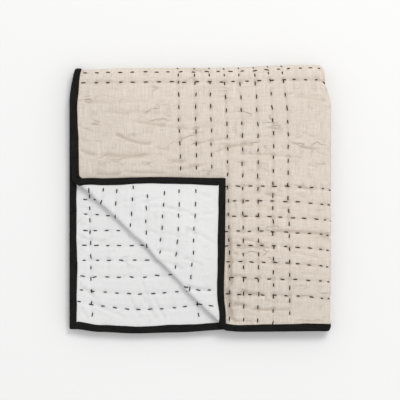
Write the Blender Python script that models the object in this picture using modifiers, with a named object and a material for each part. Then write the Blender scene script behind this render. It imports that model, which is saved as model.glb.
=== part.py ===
"""A quilted bedspread folded in quarters, lying flat, with one corner of its upper leaf turned back.

The cloth is worked out flat, as it was cut: u runs across from the left edge of the upper leaf, v runs up
from its bottom edge. A fold map then carries each point of the flat cloth to its place in the stack.
Metres, +Z up. The origin is at the middle of the stack's base.
"""

import math

import bmesh
import bpy
from mathutils import Vector

# Footprint of the folded stack, seen from above
RIGHT_REACH = 0.2630
TOP_REACH = 0.2660
UPPER_LEFT = -0.2550
UNDER_LEFT = -0.2620
FRONT_EDGE = -0.2630
REAR_FRONT_EDGE = -0.2600

# The quilt's make-up
PANEL_GAP = 0.0003
NOSE_GAP = 0.0006
BODY_HALF = 0.0050
EDGE_HALF = 0.0020
FOLD_SQUEEZE = 0.26
BINDING_WIDTH = 0.0135
BINDING_CLOTH = 0.0012
PUFF_START = 0.0150
PUFF_END = 0.1050

# Quilting channels, pressed along the stitched rows
ROW_PITCH = 0.0305
FIRST_ROW = 0.0460
CHANNEL_DEPTH = 0.0012

# Height of one ply in the stack: at the open edges, in the body, and its drop towards the two folds
PLY_EDGE = 0.0078
PLY_BODY = 0.0128
PLY_FOLD_DROP = 0.0022
EDGE_RISE = 0.1450
FOLD_ROLL = 0.0900
SEAT_PLIES = 0.14
EDGE_SEAT = 0.0006
UNEVEN_SHARE = 0.025
WAVES_ACROSS = 17.0
WAVES_ALONG = 14.0

# The two folds: how far each nose stands out
SIDE_NOSE = 0.0065
TOP_NOSE = 0.0120
TOP_SHEAR = 0.0080
FOLD_HALF = BODY_HALF * (1 - FOLD_SQUEEZE)

# How the outline strays: its loose right corner at the top, the swell beside it, its slack left end,
# and the rounded nose of the side fold at the front
CORNER_DRAWN_IN = 0.0122
CORNER_ROUNDED = 0.0120
CORNER_START = 0.2470
TOP_SWELL = 0.0060
TOP_LEFT_SLACK = 0.0015
FRONT_ROUNDED = 0.0035
FRONT_ROUNDING = 0.0150

# The turned-back corner: its crease lies this far from the corner, square to this direction
CREASE_DISTANCE = 0.2225
CREASE_NORMAL = Vector((0.7025, 0.7117))
CREASE_PRESS = 0.0023
CREASE_CLEAR = 0.0006
CREASE_BAND = 0.0180
FLAP_SETTLE = 0.0400

# Length of cloth taken up in the crease's bend
CREASE_BEND = math.pi * (BODY_HALF - CREASE_PRESS + CREASE_CLEAR)

# How far from the corner the crease meets the cut edges
CREASE_REACH = CREASE_DISTANCE / CREASE_NORMAL.x

# Flat lengths that follow from the footprint
SIDE_LINE = RIGHT_REACH - FOLD_HALF - SIDE_NOSE
TOP_LINE = TOP_REACH - FOLD_HALF - 1.5 * TOP_NOSE
SIDE_ARC = 0.0220
TOP_ARC = 0.0440
U_SIDE = SIDE_LINE - UPPER_LEFT
U_UNDER = U_SIDE + SIDE_ARC
WIDTH = U_UNDER + SIDE_LINE - UNDER_LEFT
V_TOP = TOP_LINE - FRONT_EDGE
V_REAR = V_TOP + TOP_ARC
LENGTH = V_REAR + TOP_LINE - REAR_FRONT_EDGE

# Where the cloth is divided next to its cut edges and beside its folds, and how near points are made one
EDGE_STEPS = (0.045, 0.085, 0.130)
FOLD_STEP = 0.0220
FOLD_RUN = 0.0600
MERGE = 0.0001
SLOPE_STEP = 0.0004

# How the cut edges wander: distance along the edge, and how far the cloth is drawn in there
UPPER_LEFT_WANDER = (
    {"along": 0.000, "drawn_in": 0.0030},
    {"along": 0.160, "drawn_in": -0.0012},
    {"along": 0.300, "drawn_in": -0.0012},
    {"along": 0.380, "drawn_in": -0.0042},
    {"along": 0.455, "drawn_in": -0.0050},
    {"along": 0.500, "drawn_in": -0.0010},
    {"along": 0.530, "drawn_in": 0.0035},
    {"along": 0.620, "drawn_in": 0.0010},
)
UPPER_FRONT_WANDER = (
    {"along": 0.000, "drawn_in": 0.0000},
    {"along": 0.130, "drawn_in": 0.0024},
    {"along": 0.225, "drawn_in": 0.0050},
    {"along": 0.280, "drawn_in": 0.0030},
    {"along": 0.340, "drawn_in": -0.0012},
    {"along": 0.510, "drawn_in": 0.0000},
)
UNDER_FRONT_WANDER = (
    {"along": -0.262, "drawn_in": 0.0050},
    {"along": -0.200, "drawn_in": -0.0020},
    {"along": -0.130, "drawn_in": -0.0050},
    {"along": -0.050, "drawn_in": -0.0030},
    {"along": 0.060, "drawn_in": 0.0030},
    {"along": 0.240, "drawn_in": 0.0000},
)
WANDER_FADE = 0.1400
UNDER_CORNER_DRAWN_IN = 0.0060
UNDER_CORNER_HALF = 0.0600

# How the crease of the turned-back corner strays: distance from its left end, and how far it is drawn in
CREASE_WANDER = (
    {"along": 0.000, "drawn_in": 0.0000},
    {"along": 0.060, "drawn_in": 0.0036},
    {"along": 0.122, "drawn_in": 0.0058},
    {"along": 0.166, "drawn_in": 0.0056},
    {"along": 0.204, "drawn_in": 0.0080},
    {"along": 0.236, "drawn_in": 0.0046},
    {"along": 0.256, "drawn_in": 0.0050},
    {"along": 0.292, "drawn_in": 0.0046},
    {"along": 0.334, "drawn_in": 0.0008},
    {"along": 0.370, "drawn_in": 0.0010},
    {"along": 0.406, "drawn_in": 0.0024},
    {"along": 0.445, "drawn_in": 0.0000},
)
SHORTEST_FLAP = 0.0400

# Cloth colours, roughness
FINISHES = {
    "face_panel": ((0.71, 0.63, 0.53, 1.0), 0.92),
    "backing_panel": ((0.86, 0.86, 0.85, 1.0), 0.90),
    "edge_binding": ((0.012, 0.012, 0.013, 1.0), 0.85),
}


def ease(start, end, value):
    """0 before start, 1 after end, and a smooth rise between."""
    t = min(1.0, max(0.0, (value - start) / (end - start)))
    return t * t * (3 - 2 * t)


def bell(value, half_width):
    """1 at 0, falling smoothly to 0 at half_width on both sides."""
    return 1 - ease(0, half_width, abs(value))


def wander(table, along):
    """The table's drawn_in at this place, eased between its rows."""
    if along <= table[0]["along"]:
        return table[0]["drawn_in"]
    for low, high in zip(table, table[1:]):
        if along <= high["along"]:
            share = ease(low["along"], high["along"], along)
            return low["drawn_in"] + (high["drawn_in"] - low["drawn_in"]) * share
    return table[-1]["drawn_in"]


def stack_height(x, y, plies):
    """Height above the surface here, so many plies up: loftier in the body than at the open edges."""
    rise = ease(0, EDGE_RISE, x - UNDER_LEFT) * ease(0, EDGE_RISE, y - FRONT_EDGE)
    height = PLY_EDGE + (PLY_BODY - PLY_EDGE) * rise
    towards_side = ease(RIGHT_REACH - FOLD_ROLL, RIGHT_REACH, x)
    towards_top = ease(TOP_REACH - FOLD_ROLL, TOP_REACH, y)
    height -= PLY_FOLD_DROP * max(towards_side, towards_top) * rise
    unevenness = math.sin(WAVES_ACROSS * x + 1.3) * math.sin(WAVES_ALONG * y + 0.4)
    height *= 1 + UNEVEN_SHARE * unevenness * rise
    return (plies - SEAT_PLIES) * height + EDGE_SEAT * (1 - rise)


def loft(u, v):
    """How far the quilt has filled out here, from 0 in the binding to 1 in the body."""
    rise = 1.0
    for inset in (u, WIDTH - u, v, LENGTH - v):
        rise *= ease(PUFF_START, PUFF_END, inset)
    return rise


def crease_press(u, v):
    """How much of half the thickness is lost where the quilt is pressed along the crease."""
    return CREASE_PRESS * loft(u, v) * bell(crease_offset(u, v), FOLD_ROLL)


def half_thickness(u, v):
    """Half the flat quilt's thickness: thin in the binding, full in the body, squeezed at a fold."""
    at_side = bell(u - (U_SIDE + U_UNDER) / 2, FOLD_ROLL)
    at_top = bell(v - (V_TOP + V_REAR) / 2, FOLD_ROLL)
    lost = BODY_HALF * FOLD_SQUEEZE * loft(u, v) * max(at_side, at_top)
    return EDGE_HALF + (BODY_HALF - EDGE_HALF) * loft(u, v) - max(lost, crease_press(u, v))


def dressed_half(u, v):
    """Half the thickness with the binding over it, the room it needs where it is laid on itself."""
    inset = min(u, WIDTH - u, v, LENGTH - v)
    bound = 1 - ease(BINDING_WIDTH, PUFF_END, inset)
    return half_thickness(u, v) + (BINDING_CLOTH + PANEL_GAP) * bound


def channel(u, v):
    """Depth of the quilting channel here, 0 on the crest between two rows and under the stack."""
    inside = ease(PUFF_START, PUFF_END, min(u, WIDTH - u, v)) * (1 - ease(V_TOP, V_REAR, v))
    return CHANNEL_DEPTH * inside * (0.5 + 0.5 * math.cos(2 * math.pi * (v - FIRST_ROW) / ROW_PITCH))


def crease_wander(u, v):
    """How far the crease is drawn in, away from the corner, straight across from this point."""
    left_end = CREASE_DISTANCE * CREASE_NORMAL.x / CREASE_NORMAL.y
    along = u * CREASE_NORMAL.y - v * CREASE_NORMAL.x + left_end
    return wander(CREASE_WANDER, along)


def crease_offset(u, v):
    """How far this point of the flat cloth lies beyond the crease, towards the corner."""
    return CREASE_DISTANCE + crease_wander(u, v) - Vector((u, v)).dot(CREASE_NORMAL)


def side_fold(u):
    """Place across the stack, and height in the two-ply packet, from 0.5 on top to -0.5 below."""
    if u <= U_SIDE:
        return UPPER_LEFT + u, 0.5
    if u >= U_UNDER:
        return SIDE_LINE - (u - U_UNDER), -0.5
    turn = math.pi * (u - U_SIDE) / SIDE_ARC
    return SIDE_LINE + SIDE_NOSE * math.sin(turn), 0.5 * math.cos(turn)


def top_fold(v, packet):
    """Place along the stack, and height counted in plies from the base, of that height in the packet."""
    line = TOP_LINE + TOP_SHEAR * (packet - 0.5)
    if v <= V_TOP:
        return FRONT_EDGE + v * (line - FRONT_EDGE) / V_TOP, 3 + packet
    if v >= V_REAR:
        share = (v - V_REAR) / (LENGTH - V_REAR)
        return line + share * (REAR_FRONT_EDGE - line), 1 - packet
    turn = math.pi * (v - V_TOP) / TOP_ARC
    return line + (1 + packet) * TOP_NOSE * math.sin(turn), 2 + (1 + packet) * math.cos(turn)


def drawn_outline(x, y):
    """The stack seen from above, with its loose top right corner drawn in and the top fold swollen."""
    near_top = ease(0.16, 0.25, y)
    near_side = ease(0.14, 0.26, x)
    loose = CORNER_DRAWN_IN * ease(0.185, 0.245, y)
    nose = FRONT_ROUNDED * (1 - ease(FRONT_EDGE, FRONT_EDGE + FRONT_ROUNDING, y)) ** 2
    swell = TOP_SWELL * ease(0.04, 0.21, x)
    slack = TOP_LEFT_SLACK * ease(0.0, UPPER_LEFT, x)
    rounding = CORNER_ROUNDED * max(0.0, (x - CORNER_START) / (RIGHT_REACH - CORNER_START)) ** 2
    return x - (loose + nose) * near_side, y + near_top * (swell - slack - rounding)


def wandered(u, v):
    """The flat cloth with its cut edges as uneven as they lie."""
    u_moved = u + wander(UPPER_LEFT_WANDER, v) * (1 - ease(0, WANDER_FADE, u))
    near_top_fold = bell(v - (V_TOP + V_REAR) / 2, UNDER_CORNER_HALF)
    u_moved -= UNDER_CORNER_DRAWN_IN * near_top_fold * (1 - ease(0, WANDER_FADE, WIDTH - u))
    x_under = SIDE_LINE - (u - U_UNDER)
    on_under_leaf = ease(U_UNDER - 0.005, U_UNDER + 0.040, u)
    front = wander(UPPER_FRONT_WANDER, u) * (1 - on_under_leaf)
    front += wander(UNDER_FRONT_WANDER, x_under) * on_under_leaf
    return u_moved, v + front * (1 - ease(0, WANDER_FADE, v))


def middle(u, v):
    """Where the middle of the quilt's thickness lies once folded, for a point of the flat cloth."""
    u_moved, v_moved = wandered(u, v)
    beyond = crease_offset(u_moved, v_moved)
    lift = 0.0
    if beyond > 0:
        foot = Vector((u_moved, v_moved)) + beyond * CREASE_NORMAL
        radius = dressed_half(*foot) + CREASE_CLEAR
        flat_run = beyond - math.pi * radius
        whole_run = min(foot.x / CREASE_NORMAL.x, foot.y / CREASE_NORMAL.y) - math.pi * radius
        eased = 2 * crease_wander(u_moved, v_moved) / max(SHORTEST_FLAP, whole_run)
        if flat_run < 0:
            turn = beyond / radius
            spot = foot - radius * math.sin(turn) * CREASE_NORMAL
            lift = radius * (1 - math.cos(turn))
        else:
            spot = foot + flat_run * (1 - eased) * CREASE_NORMAL
            resting = dressed_half(*spot) + dressed_half(u, v) + 2 * CREASE_CLEAR
            lift = 2 * radius + (resting - 2 * radius) * ease(0, FLAP_SETTLE, flat_run)
        u_moved, v_moved = spot
    x, packet = side_fold(u_moved)
    y, plies = top_fold(v_moved, packet)
    z = stack_height(x, y, plies) + lift - crease_press(u_moved, v_moved)
    return Vector((*drawn_outline(x, y), z))


def folded(u, v, offset, lowest=0.0):
    """The point of the folded quilt this far above its middle on the face side, pressed flat below."""
    across = middle(u + SLOPE_STEP, v) - middle(u - SLOPE_STEP, v)
    along = middle(u, v + SLOPE_STEP) - middle(u, v - SLOPE_STEP)
    place = middle(u, v) + across.cross(along).normalized() * offset
    place.z = max(place.z, lowest)
    return place


def spaced(start, end, count):
    """count + 1 places from start to end."""
    return [start + (end - start) * i / count for i in range(count + 1)]


def cut_lines():
    """Where the flat cloth is divided, across, along and beside the crease: closest at a fold."""
    hem = BINDING_CLOTH + NOSE_GAP
    across = [hem, BINDING_WIDTH, *EDGE_STEPS[:-1]] + spaced(EDGE_STEPS[-1], CREASE_REACH, 4)
    across += [CREASE_REACH + FOLD_RUN, U_SIDE - FOLD_RUN, U_SIDE - FOLD_STEP] + spaced(U_SIDE, U_UNDER, 6)
    across += [U_UNDER + FOLD_STEP] + spaced(U_UNDER + FOLD_RUN, WIDTH - EDGE_STEPS[-1], 3)
    across += [WIDTH - step for step in (EDGE_STEPS[1], EDGE_STEPS[0], BINDING_WIDTH, hem)]
    rows = int((V_TOP - FOLD_STEP / 2 - FIRST_ROW) / (ROW_PITCH / 2))
    along = [hem, BINDING_WIDTH]
    along += [FIRST_ROW + i * ROW_PITCH / 2 for i in range(-1, rows + 1)] + spaced(V_TOP, V_REAR, 7)
    along += [V_REAR + FOLD_STEP] + spaced(V_REAR + FOLD_RUN, LENGTH - EDGE_STEPS[-1], 3)
    along += [LENGTH - step for step in (EDGE_STEPS[1], EDGE_STEPS[0], BINDING_WIDTH, hem)]
    diagonal = spaced(-0.001, CREASE_BEND + 0.002, 7) + [CREASE_BEND + FOLD_STEP]
    return across, along, diagonal


def crease_shift(point):
    """How far a point near the crease is moved, so that the cut lines there follow its wander."""
    beyond_middle = CREASE_DISTANCE - CREASE_BEND / 2 - point.xy.dot(CREASE_NORMAL)
    near = 1 - ease(CREASE_BEND, CREASE_BEND + FOLD_RUN, abs(beyond_middle))
    inside = ease(BINDING_WIDTH, 3 * BINDING_WIDTH, inset_of(point))
    return crease_wander(point.x, point.y) * near * inside * CREASE_NORMAL.to_3d()


def flat_cloth():
    """The whole cloth laid flat and divided into triangles along its cut lines."""
    across, along, diagonal = cut_lines()
    cloth = bmesh.new()
    corners = [cloth.verts.new((u, v, 0)) for u, v in ((0, 0), (WIDTH, 0), (WIDTH, LENGTH), (0, LENGTH))]
    cloth.faces.new(corners)
    planes = [((u, 0, 0), (1, 0, 0)) for u in across]
    planes += [((0, v, 0), (0, 1, 0)) for v in along]
    planes += [((CREASE_DISTANCE - s) * CREASE_NORMAL.to_3d(), CREASE_NORMAL.to_3d()) for s in diagonal]
    for place, normal in planes:
        parts = cloth.verts[:] + cloth.edges[:] + cloth.faces[:]
        bmesh.ops.bisect_plane(cloth, geom=parts, dist=1e-5, plane_co=place, plane_no=normal)
    bmesh.ops.remove_doubles(cloth, verts=cloth.verts[:], dist=MERGE)
    for vert in cloth.verts:
        vert.co += crease_shift(vert.co)
    bmesh.ops.triangulate(cloth, faces=cloth.faces[:])
    return cloth


def keep_faces(cloth, wanted):
    """Leaves only the faces whose middle is wanted."""
    unwanted = [f for f in cloth.faces if not wanted(f.calc_center_median())]
    bmesh.ops.delete(cloth, geom=unwanted, context="FACES")


def inset_of(point):
    """Distance from the nearest cut edge of the flat cloth."""
    return min(point.x, WIDTH - point.x, point.y, LENGTH - point.y)


def as_object(cloth, name):
    """The finished mesh as a named object with its own material."""
    mesh = bpy.data.meshes.new(name)
    cloth.to_mesh(mesh)
    cloth.free()
    mesh.shade_smooth()
    colour, roughness = FINISHES[name]
    material = bpy.data.materials.new(name)
    material.use_nodes = True
    shader = material.node_tree.nodes["Principled BSDF"]
    shader.inputs["Base Color"].default_value = colour
    shader.inputs["Roughness"].default_value = roughness
    mesh.materials.append(material)
    made = bpy.data.objects.new(name, mesh)
    bpy.data.collections["bedspread"].objects.link(made)
    return made


def slab(cloth):
    """Gives the flat cloth a second side and a rim, all facing out, and returns the height between them."""
    bmesh.ops.solidify(cloth, geom=cloth.faces[:], thickness=1.0)
    bmesh.ops.recalc_face_normals(cloth, faces=cloth.faces[:])
    levels = [vert.co.z for vert in cloth.verts]
    return (min(levels) + max(levels)) / 2


def panel(name, side):
    """One cloth panel with its half of the filling. side is 1 for the face and -1 for the backing."""
    hem = BINDING_CLOTH + NOSE_GAP
    cloth = flat_cloth()
    keep_faces(cloth, lambda middle_point: inset_of(middle_point) > hem)
    half_way = slab(cloth)
    for vert in cloth.verts:
        u, v, level = vert.co
        outer = half_thickness(u, v) - channel(u, v)
        vert.co = folded(u, v, side * (outer if level > half_way else PANEL_GAP / 2))
    if side < 0:
        bmesh.ops.reverse_faces(cloth, faces=cloth.faces[:])
    return as_object(cloth, name)


def binding(name):
    """The strip that is folded over the quilt's edge all round, mitred at its four corners."""
    hem = BINDING_CLOTH + NOSE_GAP
    skin = flat_cloth()
    keep_faces(skin, lambda middle_point: hem < inset_of(middle_point) < BINDING_WIDTH)
    half_way = slab(skin)
    inner_wall = [
        face
        for face in skin.faces
        if all(inset_of(vert.co) > BINDING_WIDTH - 2 * MERGE for vert in face.verts)
    ]
    bmesh.ops.delete(skin, geom=inner_wall, context="FACES")
    for vert in skin.verts:
        u, v, level = vert.co
        above = 1 if level > half_way else -1
        outwards = Vector((
            (u > WIDTH - hem - MERGE) - (u < hem + MERGE),
            (v > LENGTH - hem - MERGE) - (v < hem + MERGE),
        ))
        if 0 < crease_offset(u, v) < CREASE_BAND:
            # Here the step runs along the crease, so that the strip bends exactly as the panels do
            outwards = Vector((outwards.x - outwards.y, outwards.y - outwards.x))
        u, v = Vector((u, v)) + NOSE_GAP * outwards
        vert.co = folded(u, v, above * (half_thickness(u, v) + PANEL_GAP), BINDING_CLOTH)
    strip = as_object(skin, name)
    shell = strip.modifiers.new("cloth", "SOLIDIFY")
    shell.thickness = BINDING_CLOTH
    shell.offset = 1.0
    shell.use_even_offset = True
    return strip


def main():
    for old in list(bpy.data.objects):
        bpy.data.objects.remove(old)
    collection = bpy.data.collections.new("bedspread")
    bpy.context.scene.collection.children.link(collection)
    panel("face_panel", 1)
    panel("backing_panel", -1)
    binding("edge_binding")


main()
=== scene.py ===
"""The looks of a quilted bedspread, folded in quarters, with one corner of its upper leaf turned back.

Both cloths and the binding are worked out flat, as they were cut. u runs across from the left edge of the
upper leaf, and v runs up from its front edge. The fold map lays them into the same stack as the solids.
"""

import math

import bmesh
import bpy
import numpy as np
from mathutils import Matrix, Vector


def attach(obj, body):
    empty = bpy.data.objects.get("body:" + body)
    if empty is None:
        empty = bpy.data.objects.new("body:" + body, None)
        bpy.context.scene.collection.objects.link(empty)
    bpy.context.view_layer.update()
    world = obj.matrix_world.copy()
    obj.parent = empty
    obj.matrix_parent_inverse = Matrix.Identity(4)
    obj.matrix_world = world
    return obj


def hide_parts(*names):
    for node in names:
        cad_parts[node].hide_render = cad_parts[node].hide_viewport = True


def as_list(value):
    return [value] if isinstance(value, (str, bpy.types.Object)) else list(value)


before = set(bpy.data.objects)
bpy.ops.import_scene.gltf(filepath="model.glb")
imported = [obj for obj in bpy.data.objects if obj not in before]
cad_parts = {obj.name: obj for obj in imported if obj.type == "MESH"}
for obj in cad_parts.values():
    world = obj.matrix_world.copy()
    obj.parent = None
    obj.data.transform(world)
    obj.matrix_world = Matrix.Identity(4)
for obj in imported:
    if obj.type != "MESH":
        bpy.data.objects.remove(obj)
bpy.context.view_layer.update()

dice = np.random.default_rng(27)


def table(columns, *rows):
    """Rows with their columns by name. A row may leave out its last columns."""
    return tuple(dict(zip(columns, row)) for row in rows)


# Footprint of the folded stack, seen from above
RIGHT_REACH = 0.2630
TOP_REACH = 0.2660
UPPER_LEFT = -0.2550
UNDER_LEFT = -0.2620
FRONT_EDGE = -0.2630
REAR_FRONT_EDGE = -0.2600

# The quilt's make-up
PANEL_GAP = 0.0003
BODY_HALF = 0.0050
EDGE_HALF = 0.0020
FOLD_SQUEEZE = 0.26
BINDING_WIDTH = 0.0135
BINDING_CLOTH = 0.0012
PUFF_START = 0.0150
PUFF_END = 0.1050

# Height of one ply in the stack: at the open edges, in the body, and its drop towards the two folds. Then
# how it is seated on what lies below, and the slow waves in the stack.
PLY_EDGE = 0.0078
PLY_BODY = 0.0128
PLY_FOLD_DROP = 0.0022
EDGE_RISE = 0.1450
FOLD_ROLL = 0.0900
SEAT_PLIES = 0.14
EDGE_SEAT = 0.0006
UNEVEN_SHARE = 0.025
WAVES_ACROSS = {"rate": 17.0, "start": 1.3}
WAVES_ALONG = {"rate": 14.0, "start": 0.4}

# The two folds: how far each nose stands out, and how far the top one is sheared
SIDE_NOSE = 0.0065
TOP_NOSE = 0.0120
TOP_SHEAR = 0.0080
FOLD_HALF = BODY_HALF * (1 - FOLD_SQUEEZE)

# How the outline strays: its loose top right corner, the swell beside it, its slack left end, and the nose
# of the side fold, rounded at the front. Pairs are where a change starts and ends.
NEAR_TOP = (0.16, 0.25)
NEAR_SIDE = (0.14, 0.26)
CORNER_LOOSE = (0.185, 0.245)
CORNER_DRAWN_IN = 0.0122
CORNER_ROUNDED = 0.0120
CORNER_START = 0.2470
SWELL_RISE = (0.04, 0.21)
TOP_SWELL = 0.0060
TOP_LEFT_SLACK = 0.0015
FRONT_ROUNDED = 0.0035
FRONT_ROUNDING = 0.0150

# The turned-back corner: its crease lies this far from the corner, square to this direction
CREASE_DISTANCE = 0.2225
CREASE_NORMAL = (0.7025, 0.7117)
CREASE_PRESS = 0.0023
CREASE_CLEAR = 0.0006
FLAP_SETTLE = 0.0400

# Flat lengths that follow from the footprint
SIDE_LINE = RIGHT_REACH - FOLD_HALF - SIDE_NOSE
TOP_LINE = TOP_REACH - FOLD_HALF - 1.5 * TOP_NOSE
SIDE_ARC = 0.0220
TOP_ARC = 0.0440
U_SIDE = SIDE_LINE - UPPER_LEFT
U_UNDER = U_SIDE + SIDE_ARC
WIDTH = U_UNDER + SIDE_LINE - UNDER_LEFT
V_TOP = TOP_LINE - FRONT_EDGE
V_REAR = V_TOP + TOP_ARC
LENGTH = V_REAR + TOP_LINE - REAR_FRONT_EDGE

# How the cut edges wander: distance along the edge, and how far the cloth is drawn in there
WANDER_COLUMNS = ("along", "drawn_in")
UPPER_LEFT_WANDER = table(
    WANDER_COLUMNS,
    (0.000, 0.0030),
    (0.160, -0.0012),
    (0.300, -0.0012),
    (0.380, -0.0042),
    (0.455, -0.0050),
    (0.500, -0.0010),
    (0.530, 0.0035),
    (0.620, 0.0010),
)
UPPER_FRONT_WANDER = table(
    WANDER_COLUMNS,
    (0.000, 0.0000),
    (0.130, 0.0024),
    (0.225, 0.0050),
    (0.280, 0.0030),
    (0.340, -0.0012),
    (0.510, 0.0000),
)
UNDER_FRONT_WANDER = table(
    WANDER_COLUMNS,
    (-0.262, 0.0050),
    (-0.200, -0.0020),
    (-0.130, -0.0050),
    (-0.050, -0.0030),
    (0.060, 0.0030),
    (0.240, 0.0000),
)
WANDER_FADE = 0.1400
UNDER_START = (-0.0050, 0.0400)
UNDER_CORNER_DRAWN_IN = 0.0060
UNDER_CORNER_HALF = 0.0600

# How the crease of the turned-back corner strays: distance from its left end, and how far it is drawn in
CREASE_WANDER = table(
    WANDER_COLUMNS,
    (0.000, 0.0000),
    (0.060, 0.0036),
    (0.122, 0.0058),
    (0.166, 0.0056),
    (0.204, 0.0080),
    (0.236, 0.0046),
    (0.256, 0.0050),
    (0.292, 0.0046),
    (0.334, 0.0008),
    (0.370, 0.0010),
    (0.406, 0.0024),
    (0.445, 0.0000),
)
SHORTEST_FLAP = 0.0400

# The fine meshes: thickness of the cloth, how far it runs under the binding, how finely it is divided and
# how far its fine corners reach. Then the least height above the surface for cloth, stitches and thread.
CLOTH = 0.0008
UNDER_BINDING = 0.0040
FINE_STEP = 0.0028
ARC_STEP = 0.0040
ARC_MARGIN = 0.0100
HIDDEN_STEP = 0.0250
CORNER_REACH = 0.3300
SLOPE_STEP = 0.0004
CLOTH_CLEAR = 0.0002
STITCH_CLEAR = 0.0003
THREAD_CLEAR = 0.0001


def ease(start, end, value):
    """0 before start, 1 after end, and a smooth rise between."""
    t = np.clip((value - start) / (end - start), 0.0, 1.0)
    return t * t * (3 - 2 * t)


def bell(value, half_width):
    """1 at 0, falling smoothly to 0 at half_width on both sides."""
    return 1 - ease(0, half_width, np.abs(value))


def wander(edge, along):
    """How far this edge is drawn in at this place, eased between the rows of its table."""
    drawn_in = edge[0]["drawn_in"]
    for low, high in zip(edge, edge[1:]):
        change = high["drawn_in"] - low["drawn_in"]
        drawn_in = drawn_in + change * ease(low["along"], high["along"], along)
    return drawn_in


def inset_of(u, v):
    """Distance from the nearest cut edge of the flat cloth."""
    return np.minimum(np.minimum(u, WIDTH - u), np.minimum(v, LENGTH - v))


def stack_height(x, y, plies):
    """Height above the surface here, so many plies up: loftier in the body than at the open edges."""
    rise = ease(0, EDGE_RISE, x - UNDER_LEFT) * ease(0, EDGE_RISE, y - FRONT_EDGE)
    height = PLY_EDGE + (PLY_BODY - PLY_EDGE) * rise
    towards_side = ease(RIGHT_REACH - FOLD_ROLL, RIGHT_REACH, x)
    towards_top = ease(TOP_REACH - FOLD_ROLL, TOP_REACH, y)
    height -= PLY_FOLD_DROP * np.maximum(towards_side, towards_top) * rise
    across = np.sin(WAVES_ACROSS["rate"] * x + WAVES_ACROSS["start"])
    along = np.sin(WAVES_ALONG["rate"] * y + WAVES_ALONG["start"])
    height *= 1 + UNEVEN_SHARE * (across * along) * rise
    return (plies - SEAT_PLIES) * height + EDGE_SEAT * (1 - rise)


def loft(u, v):
    """How far the quilt has filled out here, from 0 in the binding to 1 in the body."""
    rise = 1.0
    for inset in (u, WIDTH - u, v, LENGTH - v):
        rise = rise * ease(PUFF_START, PUFF_END, inset)
    return rise


def crease_press(u, v):
    """How much of half the thickness is lost where the quilt is pressed along the crease."""
    return CREASE_PRESS * loft(u, v) * bell(crease_offset(u, v), FOLD_ROLL)


def half_thickness(u, v):
    """Half the flat quilt's thickness: thin in the binding, full in the body, squeezed at a fold."""
    at_side = bell(u - (U_SIDE + U_UNDER) / 2, FOLD_ROLL)
    at_top = bell(v - (V_TOP + V_REAR) / 2, FOLD_ROLL)
    lost = BODY_HALF * FOLD_SQUEEZE * loft(u, v) * np.maximum(at_side, at_top)
    return EDGE_HALF + (BODY_HALF - EDGE_HALF) * loft(u, v) - np.maximum(lost, crease_press(u, v))


def dressed_half(u, v):
    """Half the thickness with the binding over it, the room it needs where it is laid on itself."""
    bound = 1 - ease(BINDING_WIDTH, PUFF_END, inset_of(u, v))
    return half_thickness(u, v) + (BINDING_CLOTH + PANEL_GAP) * bound


def crease_wander(u, v):
    """How far the crease is drawn in, away from the corner, straight across from this flat place."""
    left_end = CREASE_DISTANCE * CREASE_NORMAL[0] / CREASE_NORMAL[1]
    along = u * CREASE_NORMAL[1] - v * CREASE_NORMAL[0] + left_end
    return wander(CREASE_WANDER, along)


def crease_offset(u, v):
    """How far this point of the flat cloth lies beyond the crease, towards the corner."""
    return CREASE_DISTANCE + crease_wander(u, v) - (u * CREASE_NORMAL[0] + v * CREASE_NORMAL[1])


def flap_easing(foot_u, foot_v, radius):
    """The share by which the flap is gathered up. It keeps the cut edges straight as the crease strays."""
    whole_run = np.minimum(foot_u / CREASE_NORMAL[0], foot_v / CREASE_NORMAL[1]) - math.pi * radius
    return 2 * crease_wander(foot_u, foot_v) / np.maximum(SHORTEST_FLAP, whole_run)


def side_fold(u):
    """Place across the stack, and height in the two-ply packet, from 0.5 on top to -0.5 below."""
    turn = math.pi * np.clip((u - U_SIDE) / SIDE_ARC, 0, 1)
    x = UPPER_LEFT + np.minimum(u, U_SIDE) + SIDE_NOSE * np.sin(turn) - np.maximum(u - U_UNDER, 0)
    return x, 0.5 * np.cos(turn)


def top_fold(v, packet):
    """Place along the stack, and height counted in plies from the base, of that height in the packet."""
    line = TOP_LINE + TOP_SHEAR * (packet - 0.5)
    turn = math.pi * np.clip((v - V_TOP) / TOP_ARC, 0, 1)
    share = np.maximum((v - V_REAR) / (LENGTH - V_REAR), 0)
    y = FRONT_EDGE + np.minimum(v, V_TOP) * (line - FRONT_EDGE) / V_TOP
    y = y + (1 + packet) * TOP_NOSE * np.sin(turn) + share * (REAR_FRONT_EDGE - line)
    return y, 2 + (1 + packet) * np.cos(turn)


def drawn_outline(x, y):
    """The stack seen from above, with its loose top right corner drawn in and the top fold swollen."""
    loose = CORNER_DRAWN_IN * ease(*CORNER_LOOSE, y)
    nose = FRONT_ROUNDED * (1 - ease(FRONT_EDGE, FRONT_EDGE + FRONT_ROUNDING, y)) ** 2
    swell = TOP_SWELL * ease(*SWELL_RISE, x)
    slack = TOP_LEFT_SLACK * ease(0.0, UPPER_LEFT, x)
    past_start = np.maximum(0.0, (x - CORNER_START) / (RIGHT_REACH - CORNER_START))
    rounding = CORNER_ROUNDED * past_start ** 2
    return x - (loose + nose) * ease(*NEAR_SIDE, x), y + ease(*NEAR_TOP, y) * (swell - slack - rounding)


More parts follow.
